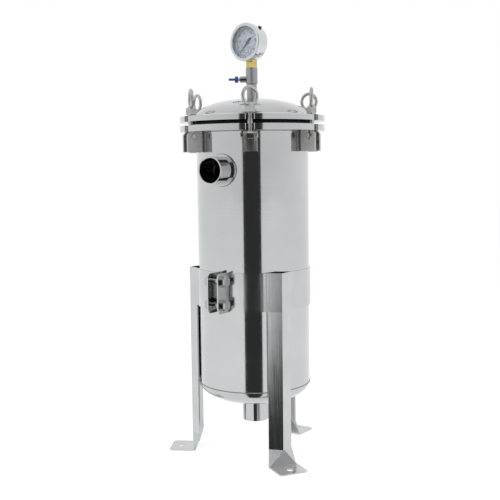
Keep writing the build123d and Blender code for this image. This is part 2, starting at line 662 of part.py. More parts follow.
for n, label in enumerate(LEGS):
    azimuth = LEG_AZIMUTH + n * leg_step
    with BuildPart() as leg:
        with BuildSketch(level(azimuth, BAND_Z)):
            with BuildLine():
                outer = CenterArc((0, 0), BAND_R, -leg_step / 2, leg_step)
                inner = CenterArc((0, 0), SHELL_R, -leg_step / 2, leg_step)
                Line(outer @ 0, inner @ 0)
                Line(outer @ 1, inner @ 1)
            make_face()
            with BuildLine():
                Polyline(*band_side[:4], close=True)
            make_face(mode=Mode.SUBTRACT)
            with BuildLine():
                Polyline(*band_side, close=True)
            make_face()
            Circle(SHELL_R, mode=Mode.SUBTRACT)
        extrude(amount=BAND_H)
        with BuildSketch(level(azimuth, FOOT_FOLD_Z)):
            with BuildLine():
                Polyline(*leg_side, close=True)
            make_face()
        extrude(amount=BAND_Z - FOOT_FOLD_Z)
        with BuildSketch(level(azimuth, FOOT_FOLD_Z)):
            with BuildLine():
                Polyline(*leg_side, close=True)
            make_face()
        with BuildSketch(level(azimuth, SHEET_T)):
            with BuildLine():
                Polyline(*foot_strip, close=True)
            make_face()
        loft(ruled=True)
        with BuildSketch(level(azimuth, 0)) as foot:
            with Locations((FOOT_IN_R - SHEET_T, 0)):
                Rectangle(FOOT_OUT_R - FOOT_IN_R + SHEET_T, 2 * FOOT_HALF, align=(Align.MIN, Align.CENTER))
            fillet(foot.vertices().filter_by(lambda v: hypot(v.X, v.Y) > FOOT_OUT_R), FOOT_CORNER)
            with Locations((FOOT_HOLE_AT_R, 0)):
                Circle(FOOT_HOLE_R, mode=Mode.SUBTRACT)
        extrude(amount=SHEET_T)
        with BuildSketch(level(CLAMP_AZIMUTH, BAND_Z)):
            Rectangle(EAR_REACH, 2 * ear_out, align=(Align.MIN, Align.CENTER))
        extrude(amount=BAND_H, mode=Mode.SUBTRACT)
    save(leg.part, label)

# Clamp: two ears, and two hexagon bolts with washers and nuts
ear_h = BAND_H + 2 * EAR_EXTRA
band_mid_z = BAND_Z + BAND_H / 2
for label, side in (("clamp_ear_left", -1), ("clamp_ear_right", 1)):
    with BuildPart() as ear:
        with BuildSketch(across(CLAMP_AZIMUTH, 0, side * EAR_GAP / 2, band_mid_z)) as plate:
            with Locations((0, (SHELL_IN_R + EAR_REACH) / 2)):
                Rectangle(ear_h, EAR_REACH - SHELL_IN_R)
            fillet(plate.vertices().filter_by(lambda v: hypot(v.X, v.Y) > BAND_R + EAR_ROUND), EAR_ROUND)
            with Locations((0, CLAMP_BOLT_AT_R)):
                with GridLocations(CLAMP_BOLT_PITCH, 0, 2, 1):
                    Circle(CLAMP_BOLT_R + CLAMP_BOLT_CLEAR, mode=Mode.SUBTRACT)
        extrude(amount=side * SHEET_T)
        with BuildSketch(Plane.XY.offset(band_mid_z - ear_h)):
            Circle(SHELL_R)
        extrude(amount=2 * ear_h, mode=Mode.SUBTRACT)
    save(ear.part, label)


def on_clamp(shift):
    """The plane of the clamp bolts at a distance to the right of the clamp's middle."""
    return across(CLAMP_AZIMUTH, CLAMP_BOLT_AT_R, shift, band_mid_z)


washer_out = ear_out + WASHER_T
with BuildPart() as clamp_bolts:
    with BuildSketch(on_clamp(washer_out)):
        with GridLocations(CLAMP_BOLT_PITCH, 0, 2, 1):
            RegularPolygon(CLAMP_HEX / 2, 6, major_radius=False)
    extrude(amount=CLAMP_HEAD_H)
    with BuildSketch(on_clamp(washer_out)):
        with GridLocations(CLAMP_BOLT_PITCH, 0, 2, 1):
            Circle(CLAMP_BOLT_R)
    extrude(amount=-(2 * washer_out + CLAMP_NUT_H + CLAMP_END))
save(clamp_bolts.part, "clamp_bolts")
with BuildPart() as clamp_nuts:
    with BuildSketch(on_clamp(-washer_out)):
        with GridLocations(CLAMP_BOLT_PITCH, 0, 2, 1):
            RegularPolygon(CLAMP_HEX / 2, 6, major_radius=False)
            Circle(CLAMP_BOLT_R, mode=Mode.SUBTRACT)
    extrude(amount=-CLAMP_NUT_H)
save(clamp_nuts.part, "clamp_nuts")
with BuildPart() as clamp_washers:
    for face in (on_clamp(ear_out), on_clamp(-washer_out)):
        with BuildSketch(face):
            with GridLocations(CLAMP_BOLT_PITCH, 0, 2, 1):
                Circle(WASHER_R)
                Circle(CLAMP_BOLT_R, mode=Mode.SUBTRACT)
        extrude(amount=WASHER_T)
save(clamp_washers.part, "clamp_washers")
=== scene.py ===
"""Finish and fine parts of a stainless bag filter housing, with its stage, light and camera.

Metres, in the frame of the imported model: +Z up, the front towards -Y. An azimuth is measured about +Z
from the front and grows towards +X.
"""

import json
import math

import bmesh
import bpy
from mathutils import Matrix, Vector


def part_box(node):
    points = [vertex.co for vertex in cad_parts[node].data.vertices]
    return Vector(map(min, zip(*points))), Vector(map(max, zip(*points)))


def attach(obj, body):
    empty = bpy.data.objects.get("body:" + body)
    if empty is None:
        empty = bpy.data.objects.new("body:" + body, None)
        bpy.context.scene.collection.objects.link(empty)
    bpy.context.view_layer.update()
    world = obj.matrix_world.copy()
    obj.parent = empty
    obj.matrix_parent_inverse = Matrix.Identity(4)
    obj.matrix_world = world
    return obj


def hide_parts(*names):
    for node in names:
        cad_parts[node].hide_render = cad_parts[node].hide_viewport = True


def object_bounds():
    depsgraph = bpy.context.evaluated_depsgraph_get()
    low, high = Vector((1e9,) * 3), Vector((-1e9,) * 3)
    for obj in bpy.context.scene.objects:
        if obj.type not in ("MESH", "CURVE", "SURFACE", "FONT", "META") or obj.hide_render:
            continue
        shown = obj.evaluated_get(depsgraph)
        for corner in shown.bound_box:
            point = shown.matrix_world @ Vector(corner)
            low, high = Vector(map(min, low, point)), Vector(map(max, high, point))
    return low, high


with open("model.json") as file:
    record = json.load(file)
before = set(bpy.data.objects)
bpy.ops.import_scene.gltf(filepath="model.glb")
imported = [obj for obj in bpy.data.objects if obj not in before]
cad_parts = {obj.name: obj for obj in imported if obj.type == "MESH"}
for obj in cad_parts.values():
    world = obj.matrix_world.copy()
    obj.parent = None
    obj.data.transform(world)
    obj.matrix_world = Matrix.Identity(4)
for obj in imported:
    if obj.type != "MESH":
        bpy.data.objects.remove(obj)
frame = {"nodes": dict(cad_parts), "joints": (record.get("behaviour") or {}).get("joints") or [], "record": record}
CAD_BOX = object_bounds()

bl_info = {
    "name": "Bag filter housing",
    "version": (1, 0, 0),
    "blender": (4, 5, 0),
    "location": "View3D > Sidebar > Filter housing",
    "description": "Finishes a stainless bag filter housing and sets it on its stage",
    "category": "Object",
}

STATIONS = 6
UP = Vector((0, 0, 1))
# Rays that show the white surroundings as they look. All others carry the soft light.
SHARP_RAYS = ("Is Camera Ray", "Is Glossy Ray", "Is Transmission Ray")


# Places that the frame gives


def joint_place(name):
    """A joint's point and unit axis."""
    joint = next(j for j in frame["joints"] if j["name"] == name)
    return Vector(joint["pos_m"]), Vector(joint["axis"]).normalized()


def mount_place(name):
    """A mount's point and outward axis."""
    mount = next(m for m in frame["record"]["mounts"] if m["name"] == name)
    return Vector(mount["pos_m"]), Vector(mount["axis"]).normalized()


def radius_of(node):
    """A round node's radius about the vessel's axis."""
    low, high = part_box(node)
    return (high.x - low.x) / 2


def wave(angle):
    """A sine between 0 and 1."""
    return 0.5 + 0.5 * math.sin(angle)


def around(azimuth, radius, height):
    """A point at an azimuth in radians from the front."""
    return Vector((radius * math.sin(azimuth), -radius * math.cos(azimuth), height))


SHELL_R = radius_of("shell")
SEAM_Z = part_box("shell")[0].z
BODY_FLANGE_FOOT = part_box("body_flange")[0].z
LID_FLANGE_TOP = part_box("lid_flange")[1].z
BRACKET_LOW, BRACKET_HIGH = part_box("bolt_bracket_1")
BAG_LOW, BAG_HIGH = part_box("filter_bag")
BAG_R = radius_of("filter_bag")


# Colour and node helpers


def linear(hex_colour):
    """An sRGB hex colour as linear red, green and blue."""
    channels = [int(hex_colour[i : i + 2], 16) / 255 for i in (1, 3, 5)]
    return tuple(c / 12.92 if c <= 0.04045 else ((c + 0.055) / 1.055) ** 2.4 for c in channels)


def opaque(colour):
    """A linear colour with full alpha."""
    return (*colour, 1.0)


def add(tree, kind, settings=None, inputs=None):
    """Adds a node. Inputs are named or numbered, and each is a value or another node's socket."""
    made = tree.nodes.new(kind)
    for name, value in (settings or {}).items():
        setattr(made, name, value)
    for name, value in (inputs or {}).items():
        if isinstance(value, bpy.types.NodeSocket):
            tree.links.new(value, made.inputs[name])
        else:
            made.inputs[name].default_value = value
    return made


def calc(tree, operation, *values):
    """The result of a Math node."""
    return add(tree, "ShaderNodeMath", {"operation": operation}, dict(enumerate(values))).outputs[0]


def seen_by(tree, *rays):
    """1 for the named kinds of ray and 0 for all others."""
    light = add(tree, "ShaderNodeLightPath")
    found = light.outputs[rays[0]]
    for ray in rays[1:]:
        found = calc(tree, "MAXIMUM", found, light.outputs[ray])
    return found


def finish(name, colour, roughness, **sockets):
    """A new material with one Principled shader. Returns the material, its tree and the shader."""
    material = bpy.data.materials.new(name)
    material.use_nodes = True
    material.diffuse_color = opaque(colour)
    tree = material.node_tree
    shader = tree.nodes["Principled BSDF"]
    shader.inputs["Base Color"].default_value = opaque(colour)
    shader.inputs["Roughness"].default_value = roughness
    for socket, value in sockets.items():
        shader.inputs[socket.replace("_", " ")].default_value = value
    return material, tree, shader


def pattern(tree, feature, detail=2.0, stretch=(1, 1, 1), turn=(0, 0, 0)):
    """Noise on Object coordinates whose features are about that many metres wide. Returns its factor."""
    place = add(tree, "ShaderNodeTexCoord").outputs["Object"]
    mapped = add(
        tree,
        "ShaderNodeMapping",
        inputs={"Vector": place, "Rotation": turn, "Scale": [s / feature for s in stretch]},
    )
    noise = add(
        tree, "ShaderNodeTexNoise", inputs={"Vector": mapped.outputs[0], "Scale": 1.0, "Detail": detail}
    )
    return noise.outputs["Fac"]


def spread(tree, source, low, high, from_low=0.3, from_high=0.7):
    """Maps a factor onto a range of values."""
    ends = {"From Min": from_low, "From Max": from_high, "To Min": low, "To Max": high}
    return add(tree, "ShaderNodeMapRange", inputs={"Value": source, **ends}).outputs["Result"]


def tint(tree, shader, source, colour, dark, light):
    """Varies the colour by a factor, between a darker and a lighter shade of it."""
    ends = {6: opaque(shade(colour, dark)), 7: opaque(shade(colour, light))}
    mixed = add(tree, "ShaderNodeMix", {"data_type": "RGBA"}, {0: spread(tree, source, 0.0, 1.0), **ends})
    tree.links.new(mixed.outputs[2], shader.inputs["Base Color"])


def roughen(tree, shader, source, low, high):
    """Varies the roughness by a factor."""
    tree.links.new(spread(tree, source, low, high), shader.inputs["Roughness"])


def bumped(tree, shader, source, height, strength=1.0):
    """Raises the surface by a factor, up to a height in metres."""
    bump = add(
        tree, "ShaderNodeBump", inputs={"Height": source, "Distance": height, "Strength": strength}
    )
    tree.links.new(bump.outputs[0], shader.inputs["Normal"])


def shade(colour, amount):
    """A colour made lighter or darker by a factor."""
    return tuple(min(1.0, c * amount) for c in colour)


# Materials


def buffed_stainless(colour):
    """304 stainless sheet, rolled and buffed: mirrors its surroundings through faint hoops of buffing."""
    material, tree, shader = finish("stainless_buffed", colour, 0.1, Metallic=1.0)
    hoops = pattern(tree, 0.0016, stretch=(0.02, 0.02, 1))
    hands = pattern(tree, 0.09, detail=3.0)
    hazed = calc(tree, "MULTIPLY", hoops, spread(tree, hands, 0.8, 1.2))
    roughen(tree, shader, hazed, 0.05, 0.13)
    tint(tree, shader, hands, colour, 0.95, 1.03)
    bumped(tree, shader, hoops, 0.000004)
    return material


def spun_stainless(colour):
    """304 stainless heads and flanges, spun and turned: the same bright skin with rings about the axis."""
    material, tree, shader = finish("stainless_spun", colour, 0.14, Metallic=1.0)
    place = add(tree, "ShaderNodeTexCoord").outputs["Object"]
    parts = add(tree, "ShaderNodeSeparateXYZ", inputs={0: place})
    flat = add(tree, "ShaderNodeCombineXYZ", inputs={0: parts.outputs[0], 1: parts.outputs[1], 2: 0.0})
    out = add(tree, "ShaderNodeVectorMath", {"operation": "LENGTH"}, {0: flat.outputs[0]})
    # Turning marks 0.9 mm apart, wider than real ones so that they show
    rings = add(
        tree, "ShaderNodeTexNoise", {"noise_dimensions": "1D"}, {"W": out.outputs["Value"], "Scale": 1100.0}
    )
    roughen(tree, shader, rings.outputs["Fac"], 0.08, 0.2)
    hands = pattern(tree, 0.06, detail=3.0)
    tint(tree, shader, hands, colour, 0.93, 1.04)
    bumped(tree, shader, rings.outputs["Fac"], 0.000006)
    return material


def pressed_stainless(colour):
    """304 stainless sheet, sheared and folded: a soft mirror with the mill's upright grain."""
    material, tree, shader = finish("stainless_folded", colour, 0.16, Metallic=1.0)
    grain = pattern(tree, 0.0014, stretch=(1, 1, 0.02))
    roughen(tree, shader, grain, 0.1, 0.22)
    stains = pattern(tree, 0.05, detail=4.0)
    tint(tree, shader, stains, colour, 0.92, 1.04)
    bumped(tree, shader, grain, 0.000006)
    return material


def pickled_plate(colour):
    """Thick stainless plate, bent and pickled after welding: dull, a little mottled, with no mirror."""
    material, tree, shader = finish("stainless_pickled", colour, 0.4, Metallic=1.0)
    mottle = pattern(tree, 0.004, detail=5.0)
    roughen(tree, shader, mottle, 0.32, 0.5)
    tint(tree, shader, mottle, colour, 0.85, 1.08)
    bumped(tree, shader, mottle, 0.00005, 0.5)
    return material


def cast_stainless(colour):
    """Investment-cast stainless, tumbled bright: satin, with the fine orange peel of the mould."""
    material, tree, shader = finish("stainless_cast", colour, 0.24, Metallic=1.0)
    peel = pattern(tree, 0.0009, detail=3.0)
    rubbed = pattern(tree, 0.008, detail=2.0)
    roughen(tree, shader, rubbed, 0.12, 0.24)
    tint(tree, shader, rubbed, colour, 0.9, 1.06)
    bumped(tree, shader, peel, 0.00001, 0.4)
    return material


def turned_stainless(colour):
    """Stainless bar, turned and left plain: dull grey with fine hoops from the tool."""
    material, tree, shader = finish("stainless_turned", colour, 0.5, Metallic=1.0)
    hoops = pattern(tree, 0.0012, stretch=(0.02, 0.02, 1))
    roughen(tree, shader, hoops, 0.44, 0.58)
    bumped(tree, shader, hoops, 0.00001, 0.6)
    return material


def gauge_stainless(colour):
    """Stainless gauge case, deep drawn and mirror polished: nearly a clean mirror with a few fine wipes."""
    material, tree, shader = finish("stainless_mirror", colour, 0.05, Metallic=1.0)
    wipes = pattern(tree, 0.003, detail=2.0, stretch=(1, 0.1, 0.3), turn=(0.3, 0, 0.6))
    roughen(tree, shader, wipes, 0.03, 0.1)
    return material


def weld_stainless(colour):
    """Stainless weld metal, brushed clean: small ripples, a little darker than the sheet beside them."""
    material, tree, shader = finish("stainless_weld", colour, 0.3, Metallic=1.0)
    heat = pattern(tree, 0.012, detail=2.0)
    tint(tree, shader, heat, colour, 0.8, 1.0)
    roughen(tree, shader, heat, 0.22, 0.38)
    return material


def turned_brass(colour):
    """Free-cutting brass, turned and milled: warm yellow, bright on its edges, with fine tool marks."""
    material, tree, shader = finish("brass_turned", colour, 0.22, Metallic=1.0)
    marks = pattern(tree, 0.0008, stretch=(0.05, 0.05, 1))
    tarnish = pattern(tree, 0.006, detail=3.0)
    roughen(tree, shader, marks, 0.16, 0.3)
    tint(tree, shader, tarnish, colour, 0.82, 1.08)
    bumped(tree, shader, marks, 0.00002, 0.5)
    return material


def moulded_rubber(colour):
    """EPDM rubber, moulded: matt black with a faint bloom."""
    material, tree, shader = finish("rubber_moulded", colour, 0.72, IOR=1.52)
    bloom = pattern(tree, 0.005, detail=4.0)
    tint(tree, shader, bloom, colour, 0.8, 1.5)
    bumped(tree, shader, pattern(tree, 0.0006), 0.00003, 0.5)
    return material


def moulded_plastic(name, colour, roughness):
    """Nylon or polypropylene, injection moulded: even under a soft gloss, with a fine spark grain."""
    material, tree, shader = finish(name, colour, roughness, IOR=1.5)
    grain = pattern(tree, 0.0005, detail=2.0)
    cloud = pattern(tree, 0.01, detail=2.0)
    tint(tree, shader, cloud, colour, 0.92, 1.06)
    bumped(tree, shader, grain, 0.00002, 0.5)
    return material


def clear_glass():
    """Float glass, cut and edge ground: clear, with a sharp reflection of the room."""
    material, tree, shader = finish("glass_clear", (1.0, 1.0, 1.0), 0.0, IOR=1.45, Transmission_Weight=1.0)
    dust = pattern(tree, 0.01, detail=3.0)
    roughen(tree, shader, dust, 0.0, 0.02)
    return material


def enamelled_dial(colour):
    """Aluminium dial, stove enamelled: an even, cool white with a soft sheen."""
    material, tree, shader = finish("enamel_dial", colour, 0.4, IOR=1.5)
    cloud = pattern(tree, 0.012, detail=2.0)
    tint(tree, shader, cloud, colour, 0.95, 1.03)
    return material


def printed_ink(name, colour):
    """Screen-printed ink or brushed paint: thin, matt and slightly uneven at its edges."""
    material, tree, shader = finish(name, colour, 0.5, IOR=1.5)
    cover = pattern(tree, 0.0015, detail=2.0)
    tint(tree, shader, cover, colour, 0.85, 1.2)
    return material


def needled_felt(colour):
    """Polyester felt, needled and singed: thick, matt and woolly, with stray fibres and a soft edge."""
    material, tree, shader = finish("felt_needled", colour, 0.95, IOR=1.45, Sheen_Weight=0.35)
    shader.inputs["Sheen Roughness"].default_value = 0.6
    # Fibres drawn 0.6 mm wide, coarser than real ones so that they show
    fibres = pattern(tree, 0.0006, detail=4.0, stretch=(1, 1, 0.45))
    tufts = pattern(tree, 0.007, detail=4.0)
    woolly = calc(tree, "MULTIPLY_ADD", tufts, 0.6, fibres)
    tint(tree, shader, tufts, colour, 0.86, 1.04)
    bumped(tree, shader, woolly, 0.0004, 0.7)
    return material


def spun_thread(colour):
    """Polyester sewing thread, twisted: a slightly shiny raised cord on the felt."""
    material, tree, shader = finish("thread_polyester", colour, 0.6, IOR=1.5, Sheen_Weight=0.2)
    twist = pattern(tree, 0.0008, detail=1.0, turn=(0, 0.8, 0))
    tint(tree, shader, twist, colour, 0.8, 1.05)
    bumped(tree, shader, twist, 0.0001)
    return material


def stage_floor(colour, glow, strength):
    """Painted studio floor, so bright that it meets the background, with the object's own soft shadow."""
    material, tree, shader = finish("stage_paint", colour, 0.9)
    share = calc(tree, "MULTIPLY", seen_by(tree, *SHARP_RAYS), glow)
    white = add(tree, "ShaderNodeEmission", inputs={"Color": opaque((1, 1, 1)), "Strength": strength})
    mixed = add(
        tree, "ShaderNodeMixShader", inputs={0: share, 1: shader.outputs[0], 2: white.outputs[0]}
    )
    tree.links.new(mixed.outputs[0], tree.nodes["Material Output"].inputs["Surface"])
    return material


def stage_cloth(colour):
    """Matt black cloth that the metal mirrors."""
    material, tree, shader = finish("stage_black_cloth", colour, 1.0)
    dim = add(tree, "ShaderNodeEmission", inputs={"Color": opaque(colour), "Strength": 1.0})
    tree.links.new(dim.outputs[0], tree.nodes["Material Output"].inputs["Surface"])
    return material


# Shape helpers


def placed(name, mesh, body=None):
    """Links a mesh as an object at the origin, riding on a body."""
    mesh.name = name
    made = bpy.data.objects.new(name, mesh)
    bpy.context.scene.collection.objects.link(made)
    if body:
        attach(made, body)
    return made


def lathe(rings, centre, segments, axis=UP):
    """A mesh turned from points of radius and distance along the axis. A radius of 0 makes a pole."""
    shape = bmesh.new()
    turn = UP.rotation_difference(axis).to_matrix()
    loops = []
    for radius, along in rings:
        angles = [2 * math.pi * i / segments for i in range(segments if radius > 0 else 1)]
        places = [Vector((radius * math.cos(a), radius * math.sin(a), along)) for a in angles]
        loops.append([shape.verts.new(centre + turn @ place) for place in places])
    for low, high in zip(loops, loops[1:]):
        for i in range(segments):
            j = i + 1
            corners = [low[i % len(low)], low[j % len(low)], high[j % len(high)], high[i % len(high)]]
            shape.faces.new(list(dict.fromkeys(corners)))
    for loop in (loops[0], loops[-1]):
        if len(loop) > 1:
            shape.faces.new(loop)
    return as_mesh(shape)


def as_mesh(shape):
    """A bmesh as a smooth mesh whose faces point outwards."""
    bmesh.ops.recalc_face_normals(shape, faces=shape.faces)
    mesh = bpy.data.meshes.new("shape")
    shape.to_mesh(mesh)
    shape.free()
    mesh.shade_smooth()
    return mesh


def path_mesh(paths):
    """A mesh of edges only. Each path is a list of points and whether it closes on itself."""
    points, edges = [], []
    for path, closed in paths:
        first = len(points)
        points += [tuple(p) for p in path]
        edges += [(first + i, first + i + 1) for i in range(len(path) - 1)]
        if closed:
            edges.append((len(points) - 1, first))
    mesh = bpy.data.meshes.new("path")
    mesh.from_pydata(points, edges, [])
    return mesh


def hoop(radius, height, segments=180):
    """A closed level circle about the vessel's axis."""
    return [around(2 * math.pi * i / segments, radius, height) for i in range(segments)], True


def blank_tree(name, **kinds):
    """A Geometry Nodes tree with inputs of those kinds and a finish. Returns it and its input node."""
    tree = bpy.data.node_groups.new(name, "GeometryNodeTree")
    for label, kind in {"Geometry": "Geometry", **kinds, "Finish": "Material"}.items():
        tree.interface.new_socket(label, in_out="INPUT", socket_type="NodeSocket" + kind)
    tree.interface.new_socket("Geometry", in_out="OUTPUT", socket_type="NodeSocketGeometry")
    return tree, tree.nodes.new("NodeGroupInput")


def close_tree(tree, given, geometry, smooth=True):
    """Ends a tree in Realize Instances and Set Material."""
    real = add(tree, "GeometryNodeRealizeInstances", inputs={0: geometry})
    shaded = add(
        tree, "GeometryNodeSetShadeSmooth", inputs={"Geometry": real.outputs[0], "Shade Smooth": smooth}
    )
    painted = add(
        tree,
        "GeometryNodeSetMaterial",
        inputs={"Geometry": shaded.outputs[0], "Material": given.outputs["Finish"]},
    )
    out = tree.nodes.new("NodeGroupOutput")
    tree.links.new(painted.outputs[0], out.inputs[0])


def bead_tree():
    """Overlapping balls along a path, as a weld's ripples."""
    tree, given = blank_tree("weld_bead", Width="Float", Pitch="Float")
    curve = add(tree, "GeometryNodeMeshToCurve", inputs={"Mesh": given.outputs["Geometry"]})
    even = add(
        tree,
        "GeometryNodeResampleCurve",
        {"mode": "LENGTH"},
        {"Curve": curve.outputs[0], "Length": given.outputs["Pitch"]},
    )
    half = calc(tree, "DIVIDE", given.outputs["Width"], 2.0)
    ripple = add(tree, "GeometryNodeMeshUVSphere", inputs={"Segments": 8, "Rings": 4, "Radius": half})
    beads = add(
        tree,
        "GeometryNodeInstanceOnPoints",
        inputs={"Points": even.outputs[0], "Instance": ripple.outputs[0]},
    )
    close_tree(tree, given, beads.outputs[0])
    return tree


def thread_tree():
    """A screw thread's ridge about +Z from the origin up."""
    tree, given = blank_tree("thread_ridge", Radius="Float", Length="Float", Pitch="Float", Depth="Float")
    turns = calc(tree, "DIVIDE", given.outputs["Length"], given.outputs["Pitch"])
    helix = add(
        tree,
        "GeometryNodeCurveSpiral",
        inputs={
            "Resolution": 20,
            "Rotations": turns,
            "Start Radius": given.outputs["Radius"],
            "End Radius": given.outputs["Radius"],
            "Height": given.outputs["Length"],
        },
    )
    section = add(
        tree, "GeometryNodeCurvePrimitiveCircle", inputs={"Resolution": 4, "Radius": given.outputs["Depth"]}
    )
    ridge = add(
        tree,
        "GeometryNodeCurveToMesh",
        inputs={"Curve": helix.outputs[0], "Profile Curve": section.outputs[0], "Fill Caps": True},
    )
    close_tree(tree, given, ridge.outputs[0], smooth=False)
    return tree


def tick_tree():
    """Bars along an arc about +Z, each pointing at its centre, as the ticks of a scale."""
    tree, given = blank_tree(
        "scale_ticks", Count="Int", Radius="Float", Start="Float", Sweep="Float", Bar="Vector"
    )
    arc = add(
        tree,
        "GeometryNodeCurveArc",
        inputs={
            "Resolution": 128,
            "Radius": given.outputs["Radius"],
            "Start Angle": given.outputs["Start"],
            "Sweep Angle": given.outputs["Sweep"],
        },
    )
    marks = add(
        tree,
        "GeometryNodeCurveToPoints",
        {"mode": "COUNT"},
        {"Curve": arc.outputs[0], "Count": given.outputs["Count"]},
    )
    place = add(tree, "GeometryNodeInputPosition")
    turn = add(
        tree,
        "FunctionNodeAlignRotationToVector",
        {"axis": "X", "pivot_axis": "Z"},
        {"Vector": place.outputs[0]},
    )
    bar = add(tree, "GeometryNodeMeshCube", inputs={"Size": given.outputs["Bar"]})
    ticks = add(
        tree,
        "GeometryNodeInstanceOnPoints",
        inputs={"Points": marks.outputs[0], "Instance": bar.outputs[0], "Rotation": turn.outputs[0]},
    )
    close_tree(tree, given, ticks.outputs[0], smooth=False)
    return tree


def stitch_tree():
    """Short rods laid along a path with gaps between them, as a seam's stitches."""
    tree, given = blank_tree("seam_stitches", Pitch="Float", Length="Float", Thread="Float")
    curve = add(tree, "GeometryNodeMeshToCurve", inputs={"Mesh": given.outputs["Geometry"]})
    marks = add(
        tree,
        "GeometryNodeCurveToPoints",
        {"mode": "LENGTH"},
        {"Curve": curve.outputs[0], "Length": given.outputs["Pitch"]},
    )
    rod = add(
        tree,
        "GeometryNodeMeshCylinder",
        inputs={"Vertices": 6, "Radius": given.outputs["Thread"], "Depth": given.outputs["Length"]},
    )
    stitches = add(
        tree,
        "GeometryNodeInstanceOnPoints",
        inputs={
            "Points": marks.outputs["Points"],
            "Instance": rod.outputs["Mesh"],
            "Rotation": marks.outputs["Rotation"],
        },
    )
    close_tree(tree, given, stitches.outputs[0])
    return tree


def grown(name, tree, values, source=None):
    """Runs a Geometry Nodes tree on a source mesh and returns the result as a plain mesh."""
    seed = bpy.data.objects.new(name + "_source", source or bpy.data.meshes.new("source"))
    bpy.context.scene.collection.objects.link(seed)
    modifier = seed.modifiers.new("Shape", "NODES")
    modifier.node_group = tree
    sockets = {i.name: i.identifier for i in tree.interface.items_tree if i.in_out == "INPUT"}
    for label, value in values.items():
        modifier[sockets[label]] = value
    bpy.context.view_layer.update()
    evaluated = seed.evaluated_get(bpy.context.evaluated_depsgraph_get())
    mesh = bpy.data.meshes.new_from_object(evaluated)
    bpy.data.objects.remove(seed)
    if not mesh.polygons:
        raise RuntimeError(f"{name}: its node tree made nothing")
    return mesh


def dial_frame():
    """Matrix of the dial's face: its centre on the origin, +X to the right, +Y up and +Z outward."""
    pivot, inward = joint_place("pointer_sweep")
    outward = -inward
    right = UP.cross(outward)
    gap = bpy.context.scene.housing_sizes.pointer_gap
    turn = Matrix((right, UP, outward)).transposed()
    return Matrix.Translation(pivot - outward * gap) @ turn.to_4x4()


# Sizes and colours that a user would change


def length_property(label, described, metres):
    """A length property."""
    return bpy.props.FloatProperty(name=label, description=described, default=metres, unit="LENGTH")


def angle_property(label, described, degrees):
    """An angle property."""
    return bpy.props.FloatProperty(
        name=label, description=described, default=math.radians(degrees), subtype="ANGLE"
    )


class HousingSizes(bpy.types.PropertyGroup):
    """Sizes of the fine parts."""

    bead_width: length_property("Weld bead", "Width of the weld beads", 0.0022)
    bead_pitch: length_property("Weld ripple", "Distance between a bead's ripples", 0.0016)
    thread_pitch: length_property("Thread pitch", "Pitch of the M10 thread", 0.0015)
    thread_depth: length_property("Thread ridge", "Half height of the thread's ridge", 0.00045)
    rod_radius: length_property("Rod radius", "Radius of the swing bolts' rods", 0.005)
    nut_height: length_property("Nut height", "Height of the eye nuts' hexagons", 0.0116)
    neck_radius: length_property("Nut neck", "Radius of the eye nuts' necks at the hexagon", 0.0078)
    neck_height: length_property("Neck height", "Height of the eye nuts' necks", 0.0062)
    pointer_gap: length_property("Pointer gap", "From the dial's face to the pointer's joint", 0.001)
    scale_radius: length_property("Scale radius", "Radius of the dial's scale", 0.0245)
    scale_start: angle_property("Scale start", "Angle of the scale's zero", 225)
    scale_sweep: angle_property("Scale sweep", "Angle that the scale covers", 270)
    felt_thickness: length_property("Felt", "Thickness of the bag's felt", 0.0024)
    fold_depth: length_property("Bag folds", "How far the bag's folds pull in", 0.0042)
    stitch_pitch: length_property("Stitch pitch", "Distance between stitches", 0.0042)


def colour_property(label, described, hex_colour):
    """A colour property with an sRGB default."""
    return bpy.props.FloatVectorProperty(
        name=label, description=described, default=linear(hex_colour), subtype="COLOR", min=0.0, max=1.0
    )


class HousingColours(bpy.types.PropertyGroup):
    """Colours of the finishes."""

    bright: colour_property("Bright steel", "Shell, heads, flanges and legs", "#C4C5C6")
    plate: colour_property("Plate steel", "Bolt brackets", "#BCBCBA")
    cast: colour_property("Cast steel", "Eye nuts, bolts and pins", "#B6B6B5")
    turned: colour_property("Turned steel", "Tee and nipple", "#ABACAE")
    mirror: colour_property("Gauge steel", "Gauge case and bezel", "#D2D4D6")
    weld: colour_property("Weld metal", "Weld beads", "#A3A3A2")
    brass: colour_property("Brass", "Gauge stem", "#D6C07A")
    rubber: colour_property("Rubber", "Gasket and filling plug", "#191919")
    dial: colour_property("Dial", "Gauge dial", "#CBD3DF")
    ink: colour_property("Ink", "Scale, numbers and pointer", "#17181B")
    alarm: colour_property("Red ink", "The scale's upper end", "#B5304A")
    handle: colour_property("Handle", "Vent handle", "#3A4F98")
    spindle: colour_property("Spindle", "Vent spindle", "#BFE2F2")
    ring: colour_property("Bag ring", "The bag's moulded ring", "#DDDBD0")
    felt: colour_property("Felt", "The bag's felt", "#E4E1D4")
    thread: colour_property("Thread", "The bag's stitches", "#F0EEE6")
    cloth: colour_property("Black cloth", "What the metal mirrors at the front", "#3A3A3A")


